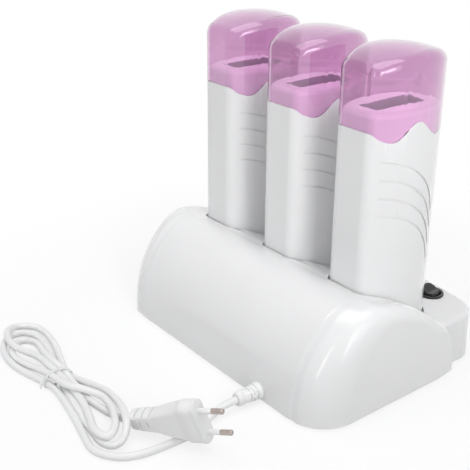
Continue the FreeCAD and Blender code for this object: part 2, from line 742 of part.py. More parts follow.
def dock_block(index):
    """The connector block that stands up through a dock's floor, on a flange under it."""
    under = DOCK_FLOOR - DOCK_WALL
    top = DOCK_FLOOR + PEDESTAL_RISE
    block = pedestal_box(index, 0, RIDE + PLATE_THICK, top)
    block = block.makeFillet(1.2, edges_above(block, top - 0.01))
    flange = pedestal_box(index, PEDESTAL_FLANGE, under - DOCK_WALL, under)
    bores = [post(PIN_RADIUS + SNUG, heater_x(index), y, RIDE, top + 1) for y in pin_places()]
    return joined([block, flange]).cut(bores)


def dock_pins(index):
    """The two contact pins of one dock."""
    tip = BODY_FOOT + RECESS_DEPTH - CONTACT_THICK - FIT
    pins = []
    for y in pin_places():
        shaft = post(PIN_RADIUS, heater_x(index), y, RIDE + PLATE_THICK, tip)
        pins.append(shaft.makeFillet(PIN_RADIUS / 2, edges_above(shaft, tip - 0.01)))
    return Part.makeCompound(pins)


def bottom_plate():
    """The plate that closes the base, with seats for pads and screws, and rows of vent slots."""
    slab = box(-2 * BASE_HALF, 2 * BASE_HALF, DECK_FRONT, BASE_REAR, RIDE, RIDE + PLATE_THICK)
    top = RIDE + PLATE_THICK
    rims = [post(BOSS_RADIUS + 1, x, y, RIDE, top + BOSS_SEAT) for x, y in screw_places()]
    plate = joined([base_form(BASE_WALL + FIT).common(slab)] + rims)
    holes = [post(SCREW_RADIUS + SNUG, x, y, 0, top + 1) for x, y in screw_places()]
    holes += [post(SCREW_HEAD + SNUG, x, y, 0, RIDE + SCREW_SINK) for x, y in screw_places()]
    holes += [post(PAD_RADIUS + SNUG, x, y, 0, RIDE + PAD_SEAT) for x, y in pad_places()]
    rear = BASE_REAR - VENT_REAR
    for i in range(COUNT):
        for k in range(VENTS):
            x = heater_x(i) + (k - (VENTS - 1) / 2) * VENT_STEP
            holes.append(box(x - VENT_WIDE / 2, x + VENT_WIDE / 2, rear - VENT_LONG, rear, 0, top + 1))
    return plate.cut(holes)


def pad_places():
    rear = (BASE_HALF - PAD_IN, BASE_REAR - PAD_REAR)
    front = (rear[0] - PAD_STEP, DECK_FRONT + PAD_FRONT)
    return [(s * x, y) for x, y in (rear, front) for s in (-1, 1)]


def rubber_feet():
    feet = []
    for x, y in pad_places():
        pad = post(PAD_RADIUS, x, y, 0, RIDE + PAD_SEAT)
        feet.append(pad.makeChamfer(PAD_EDGE, [e for e in pad.Edges if e.BoundBox.ZMax < 0.01]))
    return Part.makeCompound(feet)


def base_screws():
    """Cross-head screws through the bottom plate into the housing's bosses."""
    screws = []
    low = RIDE + 0.2
    sink = RIDE + SCREW_SINK
    tip = RIDE + PLATE_THICK + SCREW_BITE
    arm = SCREW_HEAD - 0.8
    for x, y in screw_places():
        screw = joined([post(SCREW_HEAD, x, y, low, sink), post(SCREW_RADIUS, x, y, sink, tip)])
        cross = [box(x - a, x + a, y - b, y + b, 0, low + 0.7) for a, b in ((arm, 0.4), (0.4, arm))]
        screws.append(screw.cut(cross))
    return Part.makeCompound(screws)


# ---------------------------------------------------------------- switch

def switch_case():
    """The switch's flange and barrel, open at the top for the rocker, with the axle across it."""
    at = switch_at(DECK_TOP - DISH_DEEP)
    top = at.z + BEZEL_RISE
    flange = post(BEZEL_RADIUS, at.x, at.y, at.z, top)
    flange = flange.makeFillet(BEZEL_EDGE, edges_above(flange, top - 0.01))
    barrel = post(BARREL_RADIUS, at.x, at.y, DECK_TOP - BARREL_DEPTH, at.z + BEZEL_RISE / 2)
    well = post(ROCKER_RADIUS + FIT, at.x, at.y, at.z - ROCKER_WELL, top + 1)
    reach = (ROCKER_RADIUS + BARREL_RADIUS) / 2
    axle = rod(AXLE_RADIUS, at - Vec(0, reach, 0), Vec(0, 1, 0), 2 * reach)
    return joined([joined([flange, barrel]).cut(well), axle])


def switch_rocker():
    """The rocker on its axle, at rest with the end toward the middle of the base raised."""
    axis = switch_at(DECK_TOP - DISH_DEEP)
    reach = ROCKER_RADIUS + 1
    lift = math.tan(math.radians(ROCKER_SLOPE)) * reach
    low = -0.65 * ROCKER_RADIUS
    points = [Vec(-reach, 0, ROCKER_RIDGE + lift), Vec(0, 0, ROCKER_RIDGE), Vec(reach, 0, ROCKER_RIDGE + lift),
              Vec(reach, 0, low), Vec(-reach, 0, low)]
    face = Part.Face(Part.makePolygon(points + [points[0]]))
    face.translate(axis - Vec(0, reach, 0))
    rocker = Part.makeSphere(ROCKER_RADIUS, axis).common(face.extrude(Vec(0, 2 * reach, 0)))
    bore = rod(AXLE_RADIUS + AXLE_PLAY, axis - Vec(0, reach, 0), Vec(0, 1, 0), 2 * reach)
    rocker = rocker.cut(bore)
    rocker.rotate(axis, Vec(0, 1, 0), -ROCKER_TILT)
    return rocker


def switch_tabs():
    """The switch's two blade terminals."""
    at = switch_at(DECK_TOP - BARREL_DEPTH)
    return Part.makeCompound([box(at.x - TAB_THICK / 2, at.x + TAB_THICK / 2, y - TAB_WIDE / 2, y + TAB_WIDE / 2,
                                  at.z - TAB_LONG, at.z)
                              for y in (at.y - TAB_SPACING / 2, at.y + TAB_SPACING / 2)])


# ---------------------------------------------------------------- wiring

def bent_tube(points, radius):
    """A tube along straight runs joined by tangent arcs, each as large as its runs allow."""
    edges = []
    radii = []
    at = points[0]
    for i in range(1, len(points) - 1):
        back = points[i - 1] - points[i]
        ahead = points[i + 1] - points[i]
        half_turn = (math.pi - back.getAngle(ahead)) / 2
        cut = 0.45 * min(back.Length, ahead.Length)
        bend = cut / math.tan(half_turn)
        back.normalize()
        ahead.normalize()
        start = points[i] + back * cut
        end = points[i] + ahead * cut
        bisector = (back + ahead).normalize()
        centre = points[i] + bisector * (bend / math.cos(half_turn))
        edges.append(Part.makeLine(at, start))
        edges.append(arc(start, centre - bisector * bend, end))
        radii.append(round(bend, 1))
        at = end
    edges.append(Part.makeLine(at, points[-1]))
    path = Part.Wire(edges)
    ring = Part.Wire(Part.makeCircle(radius, points[0], points[1] - points[0]))
    tube = path.makePipeShell([ring], True, True)
    ratio = tube.Volume / (math.pi * radius ** 2 * path.Length)
    print("tube", round(path.Length, 1), "radii", radii, "volume ratio", round(ratio, 4))
    return tube


def terminal_front():
    return BASE_REAR - BLOCK_BACK - BLOCK_LONG


def terminal_block():
    """The mains terminal block on the bottom plate, in line with the lead's entry."""
    low = RIDE + PLATE_THICK
    top = low + BLOCK_TALL
    front = terminal_front()
    block = box(EXIT_X - BLOCK_WIDE / 2, EXIT_X + BLOCK_WIDE / 2, front, front + BLOCK_LONG, low, top)
    block = block.makeChamfer(0.8, edges_above(block, top - 0.01))
    holes = [rod(TERMINAL_RADIUS, Vec(EXIT_X + s * TERMINAL_SPACING / 2, front - 1, low + BLOCK_TALL / 2),
                 Vec(0, 1, 0), BLOCK_LONG + 2) for s in (-1, 1)]
    return block.cut(holes)


def base_wiring():
    """Insulated wires from the terminal block along the docks."""
    z = RIDE + PLATE_THICK + WIRE_RADIUS + FIT
    front = terminal_front()
    wires = []
    for k, side in enumerate((-1, 1)):
        y = BODY_REAR + (3 + 4 * k) * WIRE_RADIUS
        x = EXIT_X + side * TERMINAL_SPACING / 2
        points = [Vec(x, front, z + 3.4), Vec(x + 3, y, z + 1), Vec(x / 4, y - 1, z)]
        points.append(Vec(heater_x(COUNT - 1) - PEDESTAL_WIDE, y, z))
        wires.append(bent_tube(points, WIRE_RADIUS))
    return Part.makeCompound(wires)


# ---------------------------------------------------------------- lead, hank and plug

def closed_curve(points, z):
    curve = Part.BSplineCurve()
    curve.interpolate(Points=[Vec(x, y, z) for x, y in points], PeriodicFlag=True)
    return Part.Wire([curve.toShape()])


def hank_slab():
    slab = prism(closed_curve(HANK_OUTLINE, 0), HANK_LOW, HANK_HEIGHT)
    return slab.cut([prism(closed_curve(eye, 0), -1, HANK_HEIGHT + 1) for eye in HANK_EYES])


def cord_hank():
    """The outer form of the loosely folded lead: two open loops either side of the tie."""
    neck = PLUG_STATIONS[-1][0]
    tail = rod(TAIL_ROOT, plug_point(neck, 0, 0), plug_frame()[0] * -1, 2 * TAIL_LONG)
    return hank_slab().cut([tie_ring(SNUG), tail])


def tie_ring(grow):
    """The tie's loop round the waist of the hank."""
    y0, y1 = TIE_REACH
    z0 = HANK_LOW + TIE_RADIUS
    z1 = HANK_HEIGHT + TIE_RADIUS / 2
    short = TIE_BEND * (1 - math.sqrt(0.5))
    ends = []
    edges = []
    for k, (y, z, sy, sz) in enumerate([(y0, z0, 1, 1), (y1, z0, -1, 1), (y1, z1, -1, -1), (y0, z1, 1, -1)]):
        upright = Vec(TIE_X, y, z + sz * TIE_BEND)
        level = Vec(TIE_X, y + sy * TIE_BEND, z)
        middle = Vec(TIE_X, y + sy * short, z + sz * short)
        first, last = (upright, level) if k % 2 == 0 else (level, upright)
        edges.append(arc(first, middle, last))
        ends.append((first, last))
    for k in range(4):
        edges.append(Part.makeLine(ends[k][1], ends[(k + 1) % 4][0]))
    path = Part.Wire(Part.__sortEdges__(edges))
    first = path.Edges[0]
    ring = Part.makeCircle(TIE_RADIUS + grow, first.valueAt(first.FirstParameter),
                           first.tangentAt(first.FirstParameter))
    return path.makePipeShell([Part.Wire(ring)], True, True)


def plug_frame():
    way = Vec(PLUG_WAY).normalize()
    side = PLUG_SIDE - way * PLUG_SIDE.dot(way)
    side.normalize()
    return way, side, way.cross(side)


def plug_point(along, across_it, out):
    way, side, face = plug_frame()
    return PLUG_FACE + way * along + side * across_it + face * out


def plug_section(along, wide, thick):
    """A flattened ring across the plug: two flats joined by round ends."""
    r = thick / 2
    h = wide / 2 - r
    pts = [plug_point(along, a, o) for a, o in
           [(-h, r), (h, r), (h + r, 0), (h, -r), (-h, -r), (-h - r, 0)]]
    return Part.Wire([Part.makeLine(pts[0], pts[1]), arc(pts[1], pts[2], pts[3]),
                      Part.makeLine(pts[3], pts[4]), arc(pts[4], pts[5], pts[0])])


def tail_slit(along, turn):
    """A slit across the plug's tail on one side, deep as far as the tail's core."""
    way, side, face = plug_frame()
    at = plug_point(along, 0, 0)
    slit = box(0, SLIT_WIDE, TAIL_CORE, TAIL_CORE + 3, -SLIT_REACH / 2, SLIT_REACH / 2)
    slit.rotate(Vec(0, 0, 0), Vec(1, 0, 0), turn)
    slit.Placement = FreeCAD.Placement(FreeCAD.Matrix(-way.x, face.x, side.x, at.x, -way.y, face.y, side.y, at.y,
                                                      -way.z, face.z, side.z, at.z, 0, 0, 0, 1)) * slit.Placement
    return slit


def plug_body():
    """The flat two-pin plug with its ribbed tail and the sleeves of its pins."""
    way = plug_frame()[0]
    neck = PLUG_STATIONS[-1][0]
    body = Part.makeLoft([plug_section(*s) for s in PLUG_STATIONS], True, False)
    tail = Part.makeCone(TAIL_ROOT, TAIL_TIP, TAIL_LONG, plug_point(neck, 0, 0), way * -1)
    sleeves = [rod(PLUG_PIN - SNUG, plug_point(-SLEEVE_ROOT, s * PIN_GAP / 2, 0), way, SLEEVE_ROOT + SLEEVE_LONG)
               for s in (-1, 1)]
    slits = [tail_slit(neck - TAIL_STEP * (k + 1), turn) for k in range(TAIL_SLITS) for turn in (0, 180)]
    bores = [rod(STUD_RADIUS + STUD_PLAY, plug_point(0, s * PIN_GAP / 2, 0), way, SLEEVE_LONG + 1)
             for s in (-1, 1)]
    return joined([body, tail] + sleeves).cut(slits).cut(bores)


def plug_pins():
    """The two metal pins, each with a stud inside its sleeve."""
    way = plug_frame()[0]
    pins = []
    for s in (-1, 1):
        out = s * PIN_GAP / 2
        stud = rod(STUD_RADIUS, plug_point(1.0, out, 0), way, SLEEVE_LONG - 1)
        tip = rod(PLUG_PIN, plug_point(SLEEVE_LONG, out, 0), way, PLUG_PIN_LONG - SLEEVE_LONG)
        far = plug_point(PLUG_PIN_LONG, out, 0)
        nose = [e for e in tip.Edges if (e.CenterOfMass - far).Length < 0.5]
        pins.append(joined([stud, tip.makeFillet(0.6 * PLUG_PIN, nose)]))
    return Part.makeCompound(pins)


def strain_relief():
    """The ribbed, tapered sleeve where the lead leaves the rear wall."""
    back = Vec(0, 1, 0)
    at = Vec(EXIT_X, BASE_REAR, EXIT_Z)
    root = Part.makeCone(RELIEF_ROOT, RELIEF_TIP, RELIEF_LENGTH, at, back)
    flange = rod(FLANGE_RADIUS, at, back, FLANGE_THICK)
    face = BASE_REAR + FLANGE_THICK - 0.1
    flange = flange.makeFillet(0.35 * FLANGE_THICK, [e for e in flange.Edges if e.BoundBox.YMin > face])
    inside = BASE_WALL + RELIEF_GRIP
    neck = rod(RELIEF_NECK, at - back * inside, back, inside)
    slits = []
    for k in range(RELIEF_SLITS):
        y = BASE_REAR + 2 * FLANGE_THICK + RELIEF_STEP * k
        for turn in (0, 90, 180, 270):
            slit = box(-RELIEF_ROOT, RELIEF_ROOT, y, y + SLIT_WIDE, CORD_RADIUS + FIT, FLANGE_RADIUS)
            slit.rotate(Vec(0, 0, 0), back, turn + 45 * (k % 2))
            slit.translate(Vec(EXIT_X, 0, EXIT_Z))
            slits.append(slit)
    return joined([root, flange, neck]).cut(slits)


def cord_lead():
    """The lead from its strain relief to where it joins the hank."""
    start = Vec(EXIT_X, BASE_REAR + RELIEF_LENGTH, EXIT_Z)
    free = bent_tube([start] + [Vec(*p) for p in LEAD_ROUTE], CORD_RADIUS).cut(hank_slab())
    return max(free.Solids, key=lambda solid: solid.Volume)


HEATER_PIECES = {"shell": heater_shell, "neck": heater_neck, "liner": heater_liner, "elements": heater_elements,
                 "thermostat": heater_thermostat, "foot": heater_foot, "contacts": heater_contacts,
                 "leads": heater_leads, "lamp": lamp_lens, "lid": heater_lid}
BASE_PIECES = {"base_housing": base_housing, "bottom_plate": bottom_plate, "rubber_feet": rubber_feet,
               "base_screws": base_screws, "switch_case": switch_case, "switch_rocker": switch_rocker,
               "switch_tabs": switch_tabs, "terminal_block": terminal_block, "base_wiring": base_wiring,
               "strain_relief": strain_relief, "cord_lead": cord_lead, "cord_hank": cord_hank,
               "plug_body": plug_body, "plug_pins": plug_pins}

for name, make in HEATER_PIECES.items():
    piece = make()
    for index in range(COUNT):
        copy = piece.copy()
        copy.translate(Vec(heater_x(index), 0, 0))
        save("heater_" + str(index + 1) + "_" + name, copy)

for index, tub in enumerate(dock_tubs()):
    tag = "dock_" + str(index + 1)
    save(tag + "_tub", tub)
    save(tag + "_block", dock_block(index))
    save(tag + "_pins", dock_pins(index))

for name, make in BASE_PIECES.items():
    save(name, make())
save("cord_tie", tie_ring(0))
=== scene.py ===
"""Looks of the roll-on wax heater set: base, three heaters under clear lids, lead and plug."""
import json
import math

import bmesh
import bpy
from bpy.props import FloatProperty, FloatVectorProperty, IntProperty, PointerProperty
from mathutils import Matrix, Vector

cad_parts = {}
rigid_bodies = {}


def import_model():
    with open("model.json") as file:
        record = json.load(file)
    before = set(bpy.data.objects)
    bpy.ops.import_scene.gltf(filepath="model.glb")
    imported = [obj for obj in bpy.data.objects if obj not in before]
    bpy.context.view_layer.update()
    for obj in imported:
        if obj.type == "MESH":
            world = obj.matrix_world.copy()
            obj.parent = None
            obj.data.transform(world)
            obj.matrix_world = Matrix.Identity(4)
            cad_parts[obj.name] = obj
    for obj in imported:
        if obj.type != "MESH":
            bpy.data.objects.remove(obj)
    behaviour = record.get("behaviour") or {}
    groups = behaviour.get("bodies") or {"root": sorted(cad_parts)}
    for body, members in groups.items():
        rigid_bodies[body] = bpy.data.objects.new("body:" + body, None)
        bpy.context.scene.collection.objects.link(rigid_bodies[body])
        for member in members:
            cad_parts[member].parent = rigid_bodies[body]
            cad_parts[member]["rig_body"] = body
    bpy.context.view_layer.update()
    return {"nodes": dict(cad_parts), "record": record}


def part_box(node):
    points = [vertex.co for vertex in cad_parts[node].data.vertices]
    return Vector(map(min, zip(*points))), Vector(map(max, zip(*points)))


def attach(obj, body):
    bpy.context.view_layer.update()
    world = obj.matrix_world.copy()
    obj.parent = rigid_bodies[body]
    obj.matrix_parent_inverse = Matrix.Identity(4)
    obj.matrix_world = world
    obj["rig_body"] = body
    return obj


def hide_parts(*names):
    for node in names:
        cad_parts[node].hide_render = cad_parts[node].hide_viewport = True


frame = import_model()
NODES = frame["nodes"]

bl_info = {
    "name": "Roll-on Wax Heater Set",
    "version": (1, 0, 0),
    "blender": (4, 5, 0),
    "location": "3D View > Sidebar > Wax Heater",
    "description": "Builds the finishes and detailed pieces of a roll-on wax heater set",
    "category": "Add Mesh",
}

HEATERS = (1, 2, 3)
# groove flanks between these heights are painted darker, as painted shade in the grooves
GROOVES_LOW, GROOVES_HIGH = 0.088, 0.182
GROOVE_TILT = 0.12                  # the flanks of a groove look up or down by at least this
NECK_RIM = 0.001                    # the slot's painted shade, partly standing for its liner, starts this far under the neck's top
ROCKER_AT = (-0.076, -0.07325)      # where its axle stands
ROCKER_LEVELS = (0.0375, 0.0385, 0.0395, 0.0405, 0.0415)
ROCKER_STEP = (0.97, 0.97, 1.11)    # at each level: in toward the axle, and up
ROCKER_SHADE = math.radians(30)
MERGE_GAP = 0.000004
FLAT_ANGLE = math.radians(0.6)      # faces of a moulding that meet at less than this are one flat
SOFT_EDGE = math.radians(35)        # edges sharper than this are rounded
SOFT_SHADE = math.radians(38)
END_ON, SIDE_ON = 0.9, 0.5          # the least Z of an end face's normal, and the most of a side face's
SLOT_RIM = 0.00012

# the lead's route, in metres: out of the strain relief, along the table, then the hank's turns
LEAD_ROUTE = (
    (-0.0615, 0.1164, 0.0078), (-0.0613, 0.1254, 0.0078), (-0.0616, 0.1373, 0.0044),
    (-0.0652, 0.1503, 0.0029), (-0.0698, 0.1631, 0.0029), (-0.0696, 0.1760, 0.0029),
    (-0.0687, 0.1892, 0.0029), (-0.0671, 0.2011, 0.0029), (-0.0623, 0.2120, 0.0029),
    (-0.0535, 0.2197, 0.0029), (-0.0429, 0.2239, 0.0029), (-0.0310, 0.2215, 0.0029),
    (-0.0200, 0.2190, 0.0029), (-0.0090, 0.2164, 0.0029), (0.0045, 0.2136, 0.0029),
    (0.0162, 0.2118, 0.0029), (0.0267, 0.2100, 0.0030), (0.0352, 0.2094, 0.0032),
    (0.0457, 0.2103, 0.0032), (0.0554, 0.2128, 0.0029), (0.0663, 0.2157, 0.0029),
    (0.0781, 0.2186, 0.0029), (0.0905, 0.2196, 0.0029), (0.1029, 0.2184, 0.0029),
    (0.1127, 0.2152, 0.0029), (0.1216, 0.2102, 0.0029), (0.1274, 0.2034, 0.0029),
    (0.1286, 0.1972, 0.0029), (0.1270, 0.1916, 0.0029), (0.1227, 0.1874, 0.0029),
    (0.1160, 0.1847, 0.0029), (0.1054, 0.1849, 0.0029), (0.0948, 0.1861, 0.0029),
    (0.0845, 0.1889, 0.0029), (0.0747, 0.1914, 0.0029), (0.0622, 0.1951, 0.0029),
    (0.0492, 0.1987, 0.0029), (0.0354, 0.2031, 0.0029), (0.0211, 0.2056, 0.0029),
    (0.0079, 0.2076, 0.0029), (-0.0037, 0.2099, 0.0029), (-0.0162, 0.2124, 0.0029),
    (-0.0273, 0.2134, 0.0029), (-0.0381, 0.2150, 0.0029), (-0.0443, 0.2131, 0.0029),
    (-0.0488, 0.2103, 0.0036), (-0.0506, 0.2068, 0.0052), (-0.0500, 0.2029, 0.0078),
    (-0.0472, 0.1991, 0.0108), (-0.0418, 0.1954, 0.0138), (-0.0297, 0.1903, 0.0131),
    (-0.0146, 0.1851, 0.0089), (-0.0003, 0.1820, 0.0057), (0.0116, 0.1814, 0.0039),
    (0.0211, 0.1836, 0.0032), (0.0301, 0.1867, 0.0030), (0.0378, 0.1901, 0.0029),
    (0.0461, 0.1920, 0.0029), (0.0556, 0.1914, 0.0031), (0.0675, 0.1875, 0.0029),
    (0.0774, 0.1845, 0.0029), (0.0900, 0.1803, 0.0029), (0.1029, 0.1777, 0.0029),
    (0.1148, 0.1764, 0.0029), (0.1254, 0.1774, 0.0029), (0.1314, 0.1809, 0.0030),
    (0.1354, 0.1855, 0.0034), (0.1365, 0.1910, 0.0043), (0.1351, 0.1974, 0.0062),
    (0.1270, 0.2048, 0.0085), (0.1171, 0.2092, 0.0087), (0.1056, 0.2104, 0.0084),
    (0.0980, 0.2076, 0.0070), (0.0905, 0.2040, 0.0063), (0.0810, 0.2012, 0.0066),
    (0.0716, 0.2011, 0.0079), (0.0574, 0.2016, 0.0087), (0.0445, 0.2012, 0.0087),
    (0.0327, 0.2012, 0.0080), (0.0224, 0.2010, 0.0060), (0.0097, 0.2023, 0.0053),
    (-0.0041, 0.2057, 0.0062), (-0.0187, 0.2106, 0.0081), (-0.0286, 0.2146, 0.0084),
    (-0.0355, 0.2147, 0.0083), (-0.0412, 0.2135, 0.0083), (-0.0434, 0.2103, 0.0078),
    (-0.0415, 0.2060, 0.0089), (-0.0373, 0.2014, 0.0102), (-0.0288, 0.1971, 0.0106),
    (-0.0200, 0.1934, 0.0097), (-0.0120, 0.1907, 0.0078), (0.0001, 0.1888, 0.0067),
    (0.0084, 0.1907, 0.0068), (0.0129, 0.1953, 0.0087), (0.0165, 0.2000, 0.0111),
    (0.0216, 0.2040, 0.0112), (0.0307, 0.2063, 0.0103), (0.0441, 0.2066, 0.0092),
    (0.0549, 0.2073, 0.0077), (0.0647, 0.2082, 0.0057), (0.0750, 0.2106, 0.0041),
    (0.0848, 0.2127, 0.0033), (0.0938, 0.2138, 0.0030), (0.1031, 0.2125, 0.0029),
    (0.1109, 0.2088, 0.0029), (0.1149, 0.2036, 0.0029), (0.1160, 0.1984, 0.0029),
    (0.1139, 0.1940, 0.0029), (0.1089, 0.1913, 0.0031), (0.1017, 0.1904, 0.0036),
    (0.0916, 0.1926, 0.0045), (0.0781, 0.1952, 0.0064), (0.0660, 0.1959, 0.0083),
    (0.0538, 0.1959, 0.0085), (0.0433, 0.1958, 0.0074), (0.0342, 0.1962, 0.0056),
    (0.0254, 0.1964, 0.0036), (0.0164, 0.1967, 0.0029), (0.0067, 0.1965, 0.0029),
    (-0.0013, 0.1951, 0.0029), (-0.0108, 0.1938, 0.0029), (-0.0169, 0.1922, 0.0031),
    (-0.0245, 0.1922, 0.0048), (-0.0312, 0.1926, 0.0079), (-0.0380, 0.1886, 0.0098),
    (-0.0432, 0.1860, 0.0114))
CURVE_ORDER = 3

# the tie round the hank's waist, as (y, z) in metres, and the line its twisted ends follow
TIE_LOOP = (
    (0.1888, 0.0030), (0.1890, 0.0005), (0.1940, 0.0003), (0.2010, 0.0003), (0.2080, 0.0003),
    (0.2128, 0.0004), (0.2140, 0.0034), (0.2118, 0.0072), (0.2092, 0.0116), (0.2060, 0.0126),
    (0.2010, 0.0122), (0.1955, 0.0113), (0.1915, 0.0085))
TIE_END = (
    (0.0462, 0.2126, 0.0096), (0.0452, 0.2150, 0.0086), (0.0444, 0.2168, 0.0060),
    (0.0438, 0.2174, 0.0030))
TIE_THICK = 0.0003
END_RADIUS = 0.00055
END_APART = 0.0006                  # from the line to the middle of each twisted end
END_TURNS = 2.75
END_FLAT = 0.3                      # the twist's height, as a share of its width
END_POINTS = 24

# the plug: the middle of its face, the way its pins point, and across its width
PLUG_FACE = (-0.0873, 0.16405, 0.0249)
PLUG_WAY = (-0.863, -0.430, 0.264)
PLUG_SIDE = (0.141, 0.298, 0.944)
# along the plug from its face, width and thickness: face plate, head, waist, shoulder
PLUG_RINGS = (
    (-0.0004, 0.0346, 0.0130), (-0.0026, 0.0350, 0.0134), (-0.0030, 0.0336, 0.0124),
    (-0.0038, 0.0336, 0.0124), (-0.0050, 0.0342, 0.0132), (-0.0118, 0.0340, 0.0136),
    (-0.0128, 0.0324, 0.0126), (-0.0170, 0.0304, 0.0126), (-0.0230, 0.0266, 0.0126),
    (-0.0290, 0.0224, 0.0124), (-0.0330, 0.0196, 0.0122), (-0.0352, 0.0182, 0.0120),
    (-0.0360, 0.0172, 0.0114))
TAIL_FROM, TAIL_TO = -0.0372, -0.0570
TAIL_WIDE = (0.0170, 0.0134)
TAIL_THICK = (0.0122, 0.0104)
TAIL_STEP, TAIL_SLOT = 0.0032, 0.0016
TAIL_DEPTH = 0.0024
TAIL_END = ((0.0018, 1.0), (0.0006, 0.93), (0.0, 0.78))     # above the end, and the share of the size
PLATE_THICK = 0.0004
PLUG_CORNER = 0.47                  # of the thickness
PIN_GAP = 0.0186
PIN_RADIUS = 0.0020
SLEEVE_RADIUS = PIN_RADIUS - 0.00005
SLEEVE_BORE = 0.00122
SLEEVE_LONG = 0.010
SLEEVE_SUNK = 0.001                 # into the plug's face

# the strain relief: where it leaves the rear wall, then along it and its radius
RELIEF_AT = (-0.0615, 0.0952, 0.0078)
RELIEF_RINGS = (
    (-0.0104, 0.0044), (-0.0006, 0.0044), (0.0, 0.0062), (0.0006, 0.0068), (0.0020, 0.0068),
    (0.0026, 0.0062), (0.0030, 0.0058), (0.0044, 0.0062), (0.0060, 0.0062), (0.0074, 0.0061),
    (0.0090, 0.0060), (0.0104, 0.0058), (0.0120, 0.0056), (0.0134, 0.0054), (0.0158, 0.0050),
    (0.0162, 0.0052), (0.0168, 0.0056), (0.0192, 0.0056), (0.0204, 0.0050), (0.0210, 0.0042))
RELIEF_SLOTS = (0.0052, 0.0082, 0.0112)
RELIEF_HALF = 0.0006                # half a slot's width
RELIEF_REACH = 34                   # degrees to each side of a slot's middle
RELIEF_DEPTH = 0.0014

# name, place, aim, (width, height), power, spread in degrees, seen in glossy faces
LAMPS = (
    ("overhead", (0.0, 0.15, 1.5), (0, 0, 0), (1.5, 1.1), 7.7, 180, True),
    ("side_box", (-1.15, 0.25, 0.75), (0, 0, 0.1), (0.7, 0.9), 1.6, 180, True),
    ("rear_box", (0.15, 1.25, 0.7), (0, 0, 0.1), (0.7, 0.9), 1.6, 180, False),
    ("shell_box", (-0.85, 0.22, 0.60), (-0.06, 0, 0.20), (0.30, 0.30), 0.17, 35, False),
    ("left_strip", (-0.42, 1.10, 0.45), (-0.1, 0.05, 0.08), (0.09, 0.70), 0.62, 180, True),
    ("right_strip", (-1.09, 0.50, 0.45), (-0.1, 0.05, 0.08), (0.08, 0.70), 0.50, 180, True))
ROOM_LIGHT = 0.51
FLOOR_SIZE = 24
FLOOR_BOUNCE = (0.62, 0.62, 0.62, 1)        # what the floor throws back on to the object
FLOOR_SHOWN = (0.97, 0.97, 0.97, 1)         # what it shows of itself, shadow and all
FLOOR_GLOW = 0.7                            # its share of plain white near the object
GLOW_FROM, GLOW_FULL = 0.15, 0.40           # between these distances the rest turns white too
CAMERA_PLACE = (-0.48262, 0.45027, 0.37575)
CAMERA_TURN = (66.0728, -0.3558, 231.8977)
CAMERA_LENS, CAMERA_SENSOR = 68.34, 36


# ---------------------------------------------------------------- sizes and colours

class WaxSizes(bpy.types.PropertyGroup):
    """Sizes of the pieces that are drawn here"""
    lead_diameter: FloatProperty(
        name="Lead Diameter", description="Outside diameter of the mains lead", default=0.0056,
        min=0.003, max=0.009, subtype="DISTANCE", unit="LENGTH")
    tie_x: FloatProperty(
        name="Tie Place", description="Where along the hank the tie sits", default=0.046,
        subtype="DISTANCE", unit="LENGTH")
    tie_width: FloatProperty(
        name="Tie Width", description="Width of the flat wire tie", default=0.0022,
        subtype="DISTANCE", unit="LENGTH")
    smooth_angle: FloatProperty(
        name="Smooth Angle", description="Moulded faces that meet at less than this shade as one",
        default=math.radians(32), subtype="ANGLE", unit="ROTATION")
    lead_sides: IntProperty(
        name="Lead Roundness", description="Steps in a quarter of the lead's section", default=5,
        min=2, max=12)


class WaxColours(bpy.types.PropertyGroup):
    """Colours of the finishes"""
    white: FloatVectorProperty(
        name="Moulded White", description="Glossy white of the base and the heaters",
        subtype="COLOR", min=0, max=1, default=(0.800, 0.802, 0.806))
    satin: FloatVectorProperty(
        name="Satin White", description="White of the underside and the plug",
        subtype="COLOR", min=0, max=1, default=(0.87, 0.87, 0.87))
    pink: FloatVectorProperty(
        name="Lid Pink", description="What one face of a lid lets through",
        subtype="COLOR", min=0, max=1, default=(0.735, 0.500, 0.690))
    lead: FloatVectorProperty(
        name="Lead White", description="White of the lead's sheath",
        subtype="COLOR", min=0, max=1, default=(0.87, 0.87, 0.87))
    black: FloatVectorProperty(
        name="Switch Black", description="Black of the round switch",
        subtype="COLOR", min=0, max=1, default=(0.006, 0.006, 0.007))
    rubber: FloatVectorProperty(
        name="Foot Grey", description="Grey of the rubber feet",
        subtype="COLOR", min=0, max=1, default=(0.22, 0.22, 0.23))


# ---------------------------------------------------------------- shader writing

class Field:
    """A shader socket that can be used in arithmetic; each operation adds one Math node."""

    def __init__(self, paint, socket):
        self.paint = paint
        self.socket = socket

    def math(self, operation, *others, clamp=False):
        return self.paint.add("ShaderNodeMath", {"operation": operation, "use_clamp": clamp},
                              dict(enumerate((self,) + others)))

    def __add__(self, other):
        return self.math("ADD", other)

    __radd__ = __add__

    def __mul__(self, other):
        return self.math("MULTIPLY", other)

    def ramp(self, low, high):
        """0 below low, 1 above high, smooth between."""
        return self.paint.add("ShaderNodeMapRange", {"interpolation_type": "SMOOTHSTEP"},
                              {"Value": self, "From Min": low, "From Max": high})


